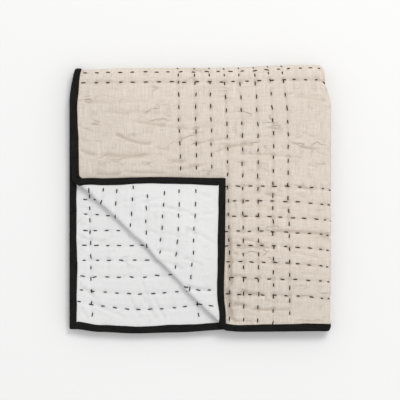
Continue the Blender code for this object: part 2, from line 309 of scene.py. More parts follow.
def wandered(u, v):
    """The flat cloth with its cut edges as uneven as they lie."""
    u_moved = u + wander(UPPER_LEFT_WANDER, v) * (1 - ease(0, WANDER_FADE, u))
    near_top_fold = bell(v - (V_TOP + V_REAR) / 2, UNDER_CORNER_HALF)
    u_moved -= UNDER_CORNER_DRAWN_IN * near_top_fold * (1 - ease(0, WANDER_FADE, WIDTH - u))
    on_under_leaf = ease(U_UNDER + UNDER_START[0], U_UNDER + UNDER_START[1], u)
    upper = wander(UPPER_FRONT_WANDER, u) * (1 - on_under_leaf)
    under = wander(UNDER_FRONT_WANDER, SIDE_LINE - (u - U_UNDER)) * on_under_leaf
    return u_moved, v + (upper + under) * (1 - ease(0, WANDER_FADE, v))


def laid_back(u, v):
    """The flat cloth with its corner turned back: where each place comes to lie, and its lift there."""
    beyond = np.maximum(crease_offset(u, v), 0)
    foot_u = u + beyond * CREASE_NORMAL[0]
    foot_v = v + beyond * CREASE_NORMAL[1]
    radius = dressed_half(foot_u, foot_v) + CREASE_CLEAR
    flat_run = beyond - math.pi * radius
    turn = np.minimum(beyond / radius, math.pi)
    eased = flap_easing(foot_u, foot_v, radius)
    reach = np.maximum(flat_run, 0) * (1 - eased) - radius * np.sin(turn)
    spot_u = foot_u + reach * CREASE_NORMAL[0]
    spot_v = foot_v + reach * CREASE_NORMAL[1]
    resting = dressed_half(spot_u, spot_v) + dressed_half(u, v) + 2 * CREASE_CLEAR
    lift = radius * (1 - np.cos(turn)) + (resting - 2 * radius) * ease(0, FLAP_SETTLE, flat_run)
    return spot_u, spot_v, lift


def middle(u, v):
    """Where the middle of the quilt's thickness lies once folded, for places on the flat cloth."""
    spot_u, spot_v, lift = laid_back(*wandered(u, v))
    x, packet = side_fold(spot_u)
    y, plies = top_fold(spot_v, packet)
    z = stack_height(x, y, plies) + lift - crease_press(spot_u, spot_v)
    x, y = drawn_outline(x, y)
    return np.stack((x, y, z), axis=-1)


def folded(u, v, offset, lowest):
    """The places of the folded quilt this far above its middle on the face side, none lower than lowest."""
    across = middle(u + SLOPE_STEP, v) - middle(u - SLOPE_STEP, v)
    along = middle(u, v + SLOPE_STEP) - middle(u, v - SLOPE_STEP)
    normal = np.cross(across, along)
    normal /= np.linalg.norm(normal, axis=-1, keepdims=True)
    places = middle(u, v) + normal * np.asarray(offset)[..., None]
    places[..., 2] = np.maximum(places[..., 2], lowest)
    return places


# Places as they are seen from above, and the same places on the flat cloth
SIDE_GATHER = {"start": 0.2430, "share": 0.45}
TOP_GATHER = {"start": 0.2365, "share": 0.50}
UNDER_RUN = TOP_LINE - TOP_SHEAR - FRONT_EDGE


def upper_place(x, y):
    """The flat place that is seen at x, y on the upper leaf. Past a fold, x and y run on unrolled."""
    return x - UPPER_LEFT, y - FRONT_EDGE


def gathered_place(x, y):
    """As upper_place, but drawn up closer past the places where the cloth starts to roll over a fold."""
    x = x - SIDE_GATHER["share"] * np.maximum(x - SIDE_GATHER["start"], 0)
    y = y - TOP_GATHER["share"] * np.maximum(y - TOP_GATHER["start"], 0)
    return upper_place(x, y)


def cut_place(u, v):
    """A flat place, given as such."""
    return u, v


def under_place(x, y):
    """The flat place that is seen at x, y on the leaf below."""
    return U_UNDER + SIDE_LINE - x, (y - FRONT_EDGE) * V_TOP / UNDER_RUN


def flap_place(x, y):
    """The flat place that is seen at x, y on the turned-back corner."""
    u, v = upper_place(x, y)
    run = -crease_offset(u, v)
    foot_u, foot_v = u - run * CREASE_NORMAL[0], v - run * CREASE_NORMAL[1]
    radius = dressed_half(foot_u, foot_v) + CREASE_CLEAR
    beyond = run / (1 - flap_easing(foot_u, foot_v, radius)) + math.pi * radius
    return foot_u - beyond * CREASE_NORMAL[0], foot_v - beyond * CREASE_NORMAL[1]


def in_metres(value):
    """A length in millimetres, or a place given by two of them, in metres."""
    return tuple(part / 1000 for part in value) if isinstance(value, tuple) else value / 1000


def line_table(columns, *rows):
    """As table, for lines drawn from above. All but their count is given in millimetres."""
    return tuple(
        {name: value if name == "count" else in_metres(value) for name, value in row.items()}
        for row in table(columns, *rows)
    )


# Running stitch, one row to a line: the middle of its first and last stitch, how many there are, its bow to
# the left, and its sway to the left in its last half
STITCH_COLUMNS = ("first", "last", "count", "bow", "sway")
FACE_STITCHING = line_table(
    STITCH_COLUMNS,
    ((-233, 270), (256, 272), 21, -1),
    ((-233.2, 236.4), (270, 235), 21, 0.5),
    ((49.4, 26.8), (298.6, 18), 11, 4.5),
    ((44.2, -2.8), (295.2, -13), 11, 4.5),
    ((44, -31.2), (280, -41), 11, 1.5),
    ((51.6, -62.6), (290, -74), 11, 4),
    ((54, -91.2), (288, -103.6), 11, 4),
    ((57.8, -123), (287.8, -136.6), 11, 3.5),
    ((38.4, -154.4), (291.4, -166), 11, 3),
    ((53.6, -188.8), (293.6, -200.6), 11, 4),
    ((-38, 63.2), (-45, 310), 11, 1),
    ((-6.8, 63.6), (-12, 310), 11, -0.5),
    ((24, 65), (17, 310), 11, -0.5),
    ((60, -236.8), (46, 310), 22, -2.5, -1.4),
    ((88, -238.8), (75, 310), 22, -3, -2.8),
    ((116, -240), (106, 310), 22, -4.5, -2.8),
    ((147, -244.2), (134, 310), 23, -4, -5.2),
    ((180, -226.2), (162, 310), 22, -4, -4.8),
)
FLAP_STITCHING = line_table(
    STITCH_COLUMNS,
    ((-222.4, 18.8), (-223, -5.2), 2),
    ((-193.6, 20.2), (-197.4, -4), 2),
    ((-166.6, 17.6), (-168, -33.8), 3, -1),
    ((-132.6, 25.4), (-138.6, -51.6), 4),
    ((-104.6, 7.6), (-106.6, -90.6), 5, -1.8),
    ((-70.8, 14.6), (-79.6, -103), 6),
    ((-41.2, 18.2), (-49.4, -133.8), 7, 2),
    ((-8.4, 18.8), (-19, -178.8), 9, 2.6),
    ((-22.2, -176), (23, -180.4), 3, -2),
    ((4.6, -209), (25.2, -212), 2),
)
UNDER_STITCHING = line_table(
    STITCH_COLUMNS,
    ((-229.8, 0.8), (-209, 1.2), 2),
    ((-229.8, -28.8), (-185.6, -31.4), 3),
    ((-231.8, -60.8), (-164.2, -61.6), 4),
    ((-231.8, -91.2), (-114.4, -91.2), 6),
    ((-231.6, -121), (-80, -120.2), 7),
    ((-237, -153.6), (-60.2, -149.2), 8, -2.8),
    ((-238, -181.6), (-23, -181.2), 10, -4.6),
    ((-243.2, -206.2), (-5.4, -209), 11, -9),
    ((-222, 7), (-217.2, -230.8), 11),
    ((-5.4, -206.8), (-2.6, -229.6), 2),
)

# The rows of the lower packet, round its side fold, given on the flat cloth
REAR_ROWS = {"pitch": 0.0305, "margin": 0.0300, "overhang": 0.0140, "slant": 0.0020}
REAR_PLACES = np.arange(V_REAR + REAR_ROWS["margin"], LENGTH - REAR_ROWS["margin"], REAR_ROWS["pitch"])
REAR_STITCHING = table(
    STITCH_COLUMNS,
    *(
        ((U_SIDE - REAR_ROWS["overhang"], v), (U_UNDER + REAR_ROWS["overhang"], v + REAR_ROWS["slant"]), 3)
        for v in REAR_PLACES
    ),
)

# Creases in the cloth, as seen from above: ends, depth, half width, and bow to the left
CREASE_COLUMNS = ("first", "last", "depth", "half", "bow")
FACE_CREASES = line_table(
    CREASE_COLUMNS,
    ((-130, 158), (-2, 142), 1.2, 3.8, -3),
    ((-166, 133), (-98, 113), 1.5, 3.8, -6),
    ((-210, 124), (-194, 113), 0.9, 3.4),
    ((-243, 128), (-224, 114), 1.2, 3.8),
    ((-243, 105), (-206, 90), 1.6, 4.6, -2),
    ((-194, 92), (-104, 90), 1.5, 6.1, -3),
    ((-88, 103), (-60, 100), 1.1, 3.4),
    ((-72, 84), (-28, 77), 1.1, 3.4, -2),
    ((-210, 52), (-156, 53), 1.1, 3.8, -1),
    ((-148, 57), (-68, 54), 1.2, 3.8, -1),
    ((-68, 63), (-4, 67), 1, 3.4, -2),
    ((-196, 176), (-70, 173), 0.8, 6.1, 3),
    ((-225, 197), (-100, 200), 0.7, 6.1, -3),
    ((-14, 142), (18, 149), 1, 3.4, 1),
    ((-14, 112), (64, 123), 1.2, 3.8, 2),
    ((30, 96), (108, 114), 1.5, 3.8, 3),
    ((118, 128), (146, 126), 1.1, 3.4, 1),
    ((78, 93), (206, 84), 1.2, 3.8, 2),
    ((64, 77), (94, 74), 1, 3),
    ((-20, 67), (16, 71), 1, 3),
    ((202, 137), (232, 125), 1.2, 3.4),
    ((192, 112), (216, 101), 1.1, 3.4),
    ((216, 71), (236, 66), 1.1, 3.4),
    ((234, 95), (256, 89), 1, 3),
    ((188, 205), (256, 197), 0.8, 4.6),
    ((86, 152), (108, 152), 0.9, 3.4, 1),
    ((110, 42), (146, 34), 1.1, 3.4),
    ((126, 14), (170, 4), 1.1, 3.8, 1),
    ((114, -11), (142, -18), 1, 3.4),
    ((154, -62), (254, -68), 1.3, 3.8, 1),
    ((82, -80), (130, -91), 1.3, 3.8, 3),
    ((60, -183), (128, -188), 1.5, 4.2),
    ((60, -204), (100, -211), 1.8, 4.2, -2),
    ((98, -217), (178, -219), 1.6, 3.8, -1),
    ((64, -242), (128, -243), 1.3, 3.4),
    ((74, -140), (60, -168), 1.6, 4.6, 2),
    ((76, -90), (64, -120), 1.5, 4.6, 2),
    ((78, -190), (66, -236), 1.7, 4.6, -3),
    ((56, -70), (60, -170), 2.8, 5.6, 1),
    ((54, -178), (60, -230), 2.8, 5.6),
    ((62, -77), (108, -82), 1.2, 3, 2),
    ((62, -102), (80, -112), 1.3, 3),
    ((62, -126), (76, -120), 1.2, 3),
    ((62, -148), (92, -156), 1.3, 3, 1),
    ((64, -176), (98, -182), 1.3, 3),
    ((62, -212), (86, -206), 1.3, 3, -1),
    ((60, -236), (88, -247), 1.5, 3, -1),
    ((148, -92), (160, -128), 0.9, 3),
    ((184, -104), (236, -116), 1, 3, 1),
    ((196, -146), (250, -152), 1, 3),
)
FLAP_CREASES = line_table(
    CREASE_COLUMNS,
    ((-168, -9), (-102, 6), 1.1, 3.4, 1),
    ((-124, -7), (-79, 2), 1, 3.4, 1),
    ((-102, -14), (-12, -29), 1.3, 3.8, 5),
    ((-37, -34), (33, -26), 1, 3.4, 2),
    ((-104, -62), (-81, -74), 1.1, 3.4, 4),
    ((-30, -58), (28, -85), 1.3, 4.2, 3),
    ((-80, -65), (-28, -73), 0.9, 3.4),
    ((-92, -101), (-48, -105), 1.1, 3.8, 2),
    ((-34, -116), (8, -132), 1.3, 3.8, 2),
    ((-90, -120), (-34, -138), 1.1, 3.8, 3),
    ((-32, -170), (32, -181), 1.5, 4.2, -2),
    ((-5, 15), (21, 6), 0.9, 3.4),
    ((-200, 4), (-150, 20), 0.7, 4.6),
)
UNDER_CREASES = line_table(
    CREASE_COLUMNS,
    ((-244, -14), (-222, -17), 1.2, 3.4),
    ((-246, -47), (-224, -52), 1.2, 3.4),
    ((-247, -72), (-190, -83), 1.5, 3.8, -3),
    ((-184, -34), (-184, -58), 1, 3),
    ((-186, -96), (-185, -148), 1, 3),
    ((-146, -112), (-148, -146), 0.9, 3),
    ((-118, -160), (-97, -221), 1.2, 3.4, 2),
    ((-96, -190), (-70, -238), 1.3, 3.4, 1),
    ((-142, -190), (-120, -236), 1.1, 3.4),
    ((-116, -192), (-88, -238), 1.2, 3.4, 1),
    ((-247, -172), (-204, -206), 1.5, 4.2, 4),
    ((-222, -200), (-160, -228), 1.3, 3.8, -3),
    ((-246, -212), (-228, -236), 1.1, 3.4),
    ((-140, -64), (-142, -88), 0.9, 3),
)
STITCH_TROUGH = {"depth": 0.0008, "half": 0.0050}
STITCH_PULL = 0.0004
# The depth drawn in at which the painted shade of a fold counts as one
DEEP_CREASE = 0.0020

# In shares of a line: where its sway is greatest and how far it reaches, and the longest fade at its ends
SWAY = {"middle": 0.70, "half": 0.30}
LONGEST_FADE = 0.2

# The low shoulders beside a trough: their height as a share of its depth, and how many half widths out
SHOULDER = {"share": 0.35, "out": 1.7}


def course(line):
    """Where the line starts, how long it is, and the direction it runs in."""
    (x, y), (last_x, last_y) = line["first"], line["last"]
    run = math.hypot(last_x - x, last_y - y)
    return x, y, run, (last_x - x) / run, (last_y - y) / run


def strayed(line, along):
    """How far the line strays to its left here: its bow, and a sway in its last half where it has one."""
    bow = 4 * line.get("bow", 0.0) * along * (1 - along)
    return bow + line.get("sway", 0.0) * bell(along - SWAY["middle"], SWAY["half"])


def trough(x, y, line, depth, half):
    """Depth of a soft trough along this line, with a low shoulder on either side, fading at its ends."""
    first_x, first_y, run, step_x, step_y = course(line)
    along = ((x - first_x) * step_x + (y - first_y) * step_y) / run
    aside = (y - first_y) * step_x - (x - first_x) * step_y - strayed(line, along)
    ends = min(LONGEST_FADE, half / run * 2)
    fade = ease(-ends, ends, along) * ease(1 + ends, 1 - ends, along)
    across = aside / half
    shoulders = SHOULDER["share"] * np.exp(-((np.abs(across) - SHOULDER["out"]) ** 2))
    return depth * fade * (np.exp(-across * across) - shoulders), along


def relief(x, y, stitching, creases):
    """How deep the cloth is drawn in at the places seen at x, y, by its stitching and its creases."""
    depth = np.zeros_like(x)
    for line in stitching:
        sunk, along = trough(x, y, line, **STITCH_TROUGH)
        pull = 0.5 + 0.5 * np.cos(2 * math.pi * along * (line["count"] - 1))
        depth += sunk * (1 + STITCH_PULL / STITCH_TROUGH["depth"] * pull)
    for crease in creases:
        depth += trough(x, y, crease, crease["depth"], crease["half"])[0]
    return depth


# Small slack creases: the ranges of their half length, depth and half width, and the spread of their bow
SLACK = {"reach": (0.008, 0.022), "depth": (0.0002, 0.0006), "half": (0.0032, 0.0060), "bow": 0.0015}


def scattered_creases(count, across, along, tilt):
    """Small slack creases strewn over a field, most of them lying nearly along the rows."""
    creases = []
    for _ in range(count):
        x, y = dice.uniform(*across), dice.uniform(*along)
        angle = dice.normal(0.0, tilt)
        reach = dice.uniform(*SLACK["reach"])
        reach_x, reach_y = reach * math.cos(angle), reach * math.sin(angle)
        depth, half = dice.uniform(*SLACK["depth"]), dice.uniform(*SLACK["half"])
        bow = dice.normal(0.0, SLACK["bow"])
        creases.append(((x - reach_x, y - reach_y), (x + reach_x, y + reach_y), depth, half, bow))
    return table(CREASE_COLUMNS, *creases)


FACE_SLACK = scattered_creases(150, across=(-0.250, 0.262), along=(-0.250, 0.250), tilt=0.35)
FLAP_SLACK = scattered_creases(50, across=(-0.200, 0.040), along=(-0.200, 0.030), tilt=0.45)
UNDER_SLACK = scattered_creases(50, across=(-0.250, 0.000), along=(-0.240, 0.010), tilt=0.90)

# Where the relief fades in: past the binding, on the flap, and on the leaf below at its side and its rear
BINDING_FADE = 0.0120
FLAP_START = (0.0020, 0.0120)
UNDER_FADE = 0.0200
REAR_FADE = 0.1000


def clear_of_binding(u, v):
    """0 under the binding, and 1 a little way in from it."""
    return ease(BINDING_WIDTH, BINDING_WIDTH + BINDING_FADE, inset_of(u, v))


def face_surface(u, v):
    """Height of the face cloth's outer side above the quilt's middle."""
    drawn = relief(u + UPPER_LEFT, v + FRONT_EDGE, FACE_STITCHING, FACE_CREASES + FACE_SLACK)
    on_top = 1 - ease(V_TOP, V_REAR, v)
    return half_thickness(u, v) - clear_of_binding(u, v) * on_top * drawn


def backing_surface(u, v):
    """Height of the backing cloth's outer side below the quilt's middle."""
    spot_u, spot_v, _ = laid_back(u, v)
    on_flap = ease(*FLAP_START, crease_offset(u, v))
    flap = relief(spot_u + UPPER_LEFT, spot_v + FRONT_EDGE, FLAP_STITCHING, FLAP_CREASES + FLAP_SLACK)
    on_under = ease(U_UNDER, U_UNDER + UNDER_FADE, u) * (1 - ease(V_TOP - REAR_FADE, V_TOP, v))
    under_x = SIDE_LINE - (u - U_UNDER)
    under_y = FRONT_EDGE + v * UNDER_RUN / V_TOP
    under = relief(under_x, under_y, UNDER_STITCHING, UNDER_CREASES + UNDER_SLACK)
    return half_thickness(u, v) - clear_of_binding(u, v) * (on_flap * flap + on_under * under)


# Making the pieces

def spaced(start, end, step):
    """Places from start up to, but not including, end, at most this step apart."""
    count = max(1, math.ceil((end - start) / step))
    return [start + (end - start) * i / count for i in range(count)]


def add_object(name, data):
    """A new object of the scene, with this mesh, lamp or camera."""
    made = bpy.data.objects.new(name, data)
    bpy.context.scene.collection.objects.link(made)
    return made


def as_object(mesh_maker, name, material):
    """The finished bmesh as an object of the scene, with its material."""
    mesh = bpy.data.meshes.new(name)
    mesh_maker.to_mesh(mesh)
    mesh_maker.free()
    mesh.materials.append(material)
    return add_object(name, mesh)


def as_piece(mesh_maker, name, material):
    """The finished bmesh as a smooth piece that rides with the part."""
    piece = as_object(mesh_maker, name, material)
    piece.data.shade_smooth()
    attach(piece, "root")
    return piece


def give_weight(piece):
    """Makes the piece as thick as cloth, inwards from the side that shows."""
    weight = piece.modifiers.new("cloth", "SOLIDIFY")
    weight.thickness = CLOTH
    weight.offset = -1.0


def grid(columns, rows):
    """A grid of quads with this many lines across and along, and the column and row of every vertex."""
    made = bmesh.new()
    bmesh.ops.create_grid(made, x_segments=columns - 1, y_segments=rows - 1, size=0.5)
    made.verts.index_update()
    spots = [
        (round((vert.co.x + 0.5) * (columns - 1)), round((vert.co.y + 0.5) * (rows - 1)))
        for vert in made.verts
    ]
    return made, spots


def map_cloth(made, places):
    """Writes every vertex's place on the cloth, in metres, as its UV."""
    cloth_map = made.loops.layers.uv.new("cloth")
    for face in made.faces:
        for loop in face.loops:
            loop[cloth_map].uv = places[loop.vert.index]


def carry(made, places):
    """Moves every vertex to its place."""
    for vert, place in zip(made.verts, places):
        vert.co = place


def panel(name, side, columns, rows, surface, material):
    """One cloth of the quilt, divided at these u and v. side is 1 for the face and -1 for the backing."""
    cloth, spots = grid(len(columns), len(rows))
    places = np.array([(columns[column], rows[row]) for column, row in spots], dtype=np.float32)
    map_cloth(cloth, places.tolist())
    u, v = places.astype(float).T
    outer = surface(u, v)
    carry(cloth, folded(u, v, side * outer, CLOTH_CLEAR))
    if side < 0:
        bmesh.ops.reverse_faces(cloth, faces=cloth.faces[:])
    piece = as_piece(cloth, name, material)
    # How far the cloth is drawn in is kept on the mesh, where the material turns it into painted shade
    depths = piece.data.attributes.new("drawn_in", "FLOAT", "POINT")
    depths.data.foreach_set("value", (half_thickness(u, v) - outer) / DEEP_CREASE)
    give_weight(piece)
    return piece


# The binding's section from its turned-under edge to the start of its nose: shares of its width and height
BINDING_SECTION = (
    {"inset": 1.00, "lift": -0.30},
    {"inset": 0.985, "lift": 0.45},
    {"inset": 0.93, "lift": 0.85},
    {"inset": 0.80, "lift": 1.15},
    {"inset": 0.62, "lift": 1.30},
    {"inset": 0.44, "lift": 1.20},
)

# Its nose: how far in it reaches, the share of the width at which it starts, and its number of divisions.
# On the map of the binding's cloth the lines of the section lie STATION_STEP apart.
BINDING_NOSE = 0.0036
NOSE_SHARE = 0.30
NOSE_STEPS = 8
STATION_STEP = 0.0025

# How unevenly the binding was turned, as shares of its width: its waves, how much they tell in its width
# and height, and how far they are shifted from one face to the other
WAVE_IN_WIDTH = 1.5
WAVE_IN_HEIGHT = 2
FACE_SHIFT = 1.7
BINDING_WAVES = (
    {"length": 0.237, "share": 0.040, "start": 0.4},
    {"length": 0.103, "share": 0.022, "start": 2.1},
    {"length": 0.041, "share": 0.008, "start": 4.0},
)

# Its left side is gathered where it runs into the crease
LEFT_EDGE = 3
CREASE_GATHER = {"share": 0.50, "half": 0.0100}


def binding_stations():
    """The section of the binding, from its edge on the face round the nose to its edge on the backing."""
    flat_part = [(row["inset"], None, row["lift"]) for row in BINDING_SECTION]
    nose = [(None, math.pi * k / NOSE_STEPS, 1.0) for k in range(NOSE_STEPS + 1)]
    front = [(1, *station) for station in flat_part]
    back = [(-1, *station) for station in reversed(flat_part)]
    return front + [(0, *station) for station in nose] + back


def binding_edge(side, along, inset):
    """The flat place that lies this far in from one of the cloth's four sides, at this share along it."""
    across, up = WIDTH - 2 * inset, LENGTH - 2 * inset
    if side == 0:
        return inset + along * across, inset
    if side == 1:
        return WIDTH - inset, inset + along * up
    if side == 2:
        return WIDTH - inset - along * across, LENGTH - inset
    return inset, LENGTH - inset - along * up


def binding_wave(run, face):
    """How unevenly the binding was turned here, as a share of its width. face is 1 on the face side."""
    uneven = 0
    for wave in BINDING_WAVES:
        turn = 2 * math.pi * run / wave["length"] + wave["start"] + FACE_SHIFT * face
        uneven += wave["share"] * math.sin(turn)
    return uneven


def binding(name, material):
    """The strip folded over the quilt's edge all round, with a rolled nose, mitred at its corners."""
    sides = []
    for side, length in enumerate((WIDTH, LENGTH, WIDTH, LENGTH)):
        count = round(length / FINE_STEP)
        sides += [(side, i / count, i * length / count) for i in range(count)]
    sides.append((0, 0.0, 0.0))
    stations = binding_stations()
    strip, spots = grid(len(sides), len(stations))
    map_cloth(strip, [(sides[column][2], row * STATION_STEP) for column, row in spots])
    places = []
    for column, row in spots:
        side, along, run = sides[column]
        face, inset, turn, lift = stations[row]
        wave = binding_wave(run, face)
        if turn is None:
            width = BINDING_WIDTH * (1 + WAVE_IN_WIDTH * wave)
            if face > 0 and side == LEFT_EDGE:
                beyond = crease_offset(*binding_edge(side, along, BINDING_WIDTH))
                width *= 1 + CREASE_GATHER["share"] * bell(beyond, CREASE_GATHER["half"])
            inset = BINDING_NOSE + (width - BINDING_NOSE) * (inset - NOSE_SHARE) / (1 - NOSE_SHARE)
            level = face
        else:
            inset = BINDING_NOSE * (1 - math.sin(turn))
            level = math.cos(turn)
        places.append((*binding_edge(side, along, inset), level, lift * (1 + WAVE_IN_HEIGHT * wave)))
    u, v, level, lift = np.array(places).T
    height = half_thickness(u, v) + PANEL_GAP + BINDING_CLOTH * lift
    carry(strip, folded(u, v, level * height, CLOTH_CLEAR))
    bmesh.ops.remove_doubles(strip, verts=strip.verts[:], dist=1e-6)
    piece = as_piece(strip, name, material)
    give_weight(piece)
    return piece


# Running stitches, sewn by hand: how far they stray from even ones along and beside the row, how much they
# slant, and the range of their lengths
THREAD_RADIUS = 0.00122
THREAD_FLATNESS = 0.85
THREAD_SIDES = 6
STITCH_LENGTH = 0.0105
HAND = {"along": 0.0010, "aside": 0.0005, "slant": 0.09, "lengths": (0.78, 1.12)}
SLANT_STEP = 0.01
STITCH_STATIONS = (
    {"along": -1.00, "width": 0.00, "lift": -0.90},
    {"along": -0.90, "width": 0.62, "lift": -0.55},
    {"along": -0.66, "width": 0.92, "lift": 0.05},
    {"along": -0.34, "width": 1.00, "lift": 0.40},
    {"along": 0.00, "width": 1.00, "lift": 0.50},
    {"along": 0.34, "width": 1.00, "lift": 0.40},
    {"along": 0.66, "width": 0.92, "lift": 0.05},
    {"along": 0.90, "width": 0.62, "lift": -0.55},
    {"along": 1.00, "width": 0.00, "lift": -0.90},
)


def stitch_places(lines):
    """Where each stitch lies, as seen from above: its middle, and half its length across and along."""
    places = []
    for line in lines:
        first_x, first_y, run, step_x, step_y = course(line)
        for k in range(line["count"]):
            along = k / (line["count"] - 1) + dice.normal(0.0, HAND["along"]) / run
            aside = strayed(line, along) + dice.normal(0.0, HAND["aside"])
            turn = (strayed(line, along + SLANT_STEP) - strayed(line, along)) / (SLANT_STEP * run)
            slope = turn + dice.normal(0.0, HAND["slant"])
            x = first_x + along * run * step_x - aside * step_y
            y = first_y + along * run * step_y + aside * step_x
            reach = STITCH_LENGTH / 2 * dice.uniform(*HAND["lengths"])
            places.append((x, y, reach * (step_x - slope * step_y), reach * (step_y + slope * step_x)))
    return np.array(places)


def stitches(name, lines, to_flat, surface, side, material):
    """Running stitches along these lines. Each is a short length of thread that dips into the cloth."""
    x, y, reach_x, reach_y = stitch_places(lines).T[..., None]
    share, width, lift = np.array([tuple(station.values()) for station in STITCH_STATIONS]).T
    u, v = to_flat(x + reach_x * share, y + reach_y * share)
    outer = surface(u, v)
    laid = folded(u, v, side * outer, STITCH_CLEAR)
    above = folded(u, v, side * (outer + THREAD_RADIUS), STITCH_CLEAR + THREAD_RADIUS) - laid
    above /= np.linalg.norm(above, axis=-1, keepdims=True)
    run = np.gradient(laid, axis=1)
    across = np.cross(run, above)
    across /= np.linalg.norm(across, axis=-1, keepdims=True)
    laid = laid + above * (lift * THREAD_RADIUS)[:, None]
    sewn = bmesh.new()
    sewn.loops.layers.uv.new("cloth")
    last = len(STITCH_STATIONS) - 1
    for k in range(len(laid)):
        made = bmesh.ops.create_uvsphere(
            sewn, u_segments=THREAD_SIDES, v_segments=last, radius=1.0, calc_uvs=True
        )
        for vert in made["verts"]:
            ring = round(math.acos(max(-1.0, min(1.0, vert.co.z))) / math.pi * last)
            around = Vector(vert.co.xy)
            if around.length > 0:
                around.normalize()
            outward = around.x * across[k, ring] + THREAD_FLATNESS * around.y * above[k, ring]
            vert.co = laid[k, ring] + THREAD_RADIUS * width[ring] * outward
            vert.co.z = max(vert.co.z, THREAD_CLEAR)
    bmesh.ops.recalc_face_normals(sewn, faces=sewn.faces[:])
    return as_piece(sewn, name, material)


# The patterns in the cloth. A stretch, times the scale if there is one, is how often a pattern changes in a
# metre across, along and upwards. Flecks are the peaks of their noise, from FLECK_FROM on.
THREAD_WANDER = {"stretches": ((40.0, 5.0, 1.0), (5.0, 40.0, 1.0)), "scale": 9.0, "threads": 1.4}
SLUB_STRETCHES = ((900.0, 26.0, 1.0), (30.0, 1000.0, 1.0))
FLECK_STRETCHES = ((330.0, 75.0, 1.0), (75.0, 330.0, 1.0))
FLECK_FROM = 0.6125
FLECK_EDGE = 8.0


def new_group(name, inputs, outputs):
    """An empty node group with these float or vector inputs and float outputs, and its two end nodes."""
    group = bpy.data.node_groups.new(name, "ShaderNodeTree")
    for label, value in inputs.items():
        kind = "NodeSocketVector" if value is None else "NodeSocketFloat"
        socket = group.interface.new_socket(label, in_out="INPUT", socket_type=kind)
        if value is not None:
            socket.default_value = value
    for label in outputs:
        group.interface.new_socket(label, in_out="OUTPUT", socket_type="NodeSocketFloat")
    return group, group.nodes.new("NodeGroupInput"), group.nodes.new("NodeGroupOutput")


def maths(tree, operation, first, second=None, third=None, clamp=False):
    """A Math node fed with sockets or plain numbers. Returns its output."""
    node = tree.nodes.new("ShaderNodeMath")
    node.operation = operation
    node.use_clamp = clamp
    for slot_number, value in enumerate((first, second, third)):
        if value is None:
            continue
        if isinstance(value, (int, float)):
            node.inputs[slot_number].default_value = value
        else:
            tree.links.new(value, node.inputs[slot_number])
    return node.outputs[0]


def noise(tree, vector, stretch, scale=1.0, detail=2.0, roughness=0.5):
    """Noise on this vector stretched by these factors. Returns its value."""
    mapping = tree.nodes.new("ShaderNodeMapping")
    mapping.inputs["Scale"].default_value = stretch
    tree.links.new(vector, mapping.inputs["Vector"])
    texture = tree.nodes.new("ShaderNodeTexNoise")
    texture.inputs["Scale"].default_value = scale
    texture.inputs["Detail"].default_value = detail
    texture.inputs["Roughness"].default_value = roughness
    tree.links.new(mapping.outputs[0], texture.inputs["Vector"])
    return texture.outputs["Fac"]


def ridges(tree, count):
    """Rounded ridges, one to each whole step of this count."""
    return maths(tree, "ABSOLUTE", maths(tree, "SINE", maths(tree, "MULTIPLY", count, math.pi)))


def plain_weave_group():
    """Height of a plain weave, its threads crossing over and under by turns."""
    group, inputs, outputs = new_group("plain_weave", {"Place": None, "Threads": 1500.0}, ["Height"])
    split = group.nodes.new("ShaderNodeSeparateXYZ")
    group.links.new(inputs.outputs["Place"], split.inputs[0])
    counts = []
    for axis, stretch in enumerate(THREAD_WANDER["stretches"]):
        uneven = noise(group, inputs.outputs["Place"], stretch, THREAD_WANDER["scale"])
        stray = maths(group, "MULTIPLY", maths(group, "SUBTRACT", uneven, 0.5), THREAD_WANDER["threads"])
        counted = maths(group, "MULTIPLY", split.outputs[axis], inputs.outputs["Threads"])
        counts.append(maths(group, "ADD", counted, stray))
    warp, weft = ridges(group, counts[0]), ridges(group, counts[1])
    total = maths(group, "ADD", maths(group, "FLOOR", counts[0]), maths(group, "FLOOR", counts[1]))
    over = maths(group, "FRACT", maths(group, "MULTIPLY", total, 0.5))
    turn = maths(group, "GREATER_THAN", over, 0.25)
    difference = maths(group, "MULTIPLY", maths(group, "SUBTRACT", warp, weft), turn)
    group.links.new(maths(group, "ADD", weft, difference), outputs.inputs["Height"])
    return group


def slub_group():
    """Slubs in the yarn, as long thin streaks both ways: 0.5 is plain yarn, more is thicker and paler. Its
    flecks are the few short stretches of unbleached fibre."""
    sockets = {"Place": None, "Warp share": 0.5}
    group, inputs, outputs = new_group("slub_yarn", sockets, ["Streak", "Fleck"])
    place, warp_share = inputs.outputs["Place"], inputs.outputs["Warp share"]
    warp, weft = (noise(group, place, stretch, detail=3.0, roughness=0.65) for stretch in SLUB_STRETCHES)
    warp_part = maths(group, "MULTIPLY", warp, warp_share)
    weft_part = maths(group, "MULTIPLY", weft, maths(group, "SUBTRACT", 1.0, warp_share))
    group.links.new(maths(group, "ADD", warp_part, weft_part), outputs.inputs["Streak"])
    thickest = maths(group, "MAXIMUM", *(noise(group, place, stretch) for stretch in FLECK_STRETCHES))
    fleck = maths(group, "MULTIPLY_ADD", thickest, FLECK_EDGE, -FLECK_EDGE * FLECK_FROM, clamp=True)
    group.links.new(fleck, outputs.inputs["Fleck"])
    return group


def cloth_tone_group():
    """Slow drifts of shade over the cloth, from handling and washing, and fine specks in it."""
    group, inputs, outputs = new_group("cloth_tone", {"Place": None}, ["Drift", "Speck"])
    place = inputs.outputs["Place"]
    drift = noise(group, place, (1.0, 1.0, 1.0), scale=22.0, detail=4.0, roughness=0.6)
    speck = noise(group, place, (1.0, 1.4, 1.0), scale=420.0, roughness=0.7)
    group.links.new(drift, outputs.inputs["Drift"])
    group.links.new(speck, outputs.inputs["Speck"])
    return group


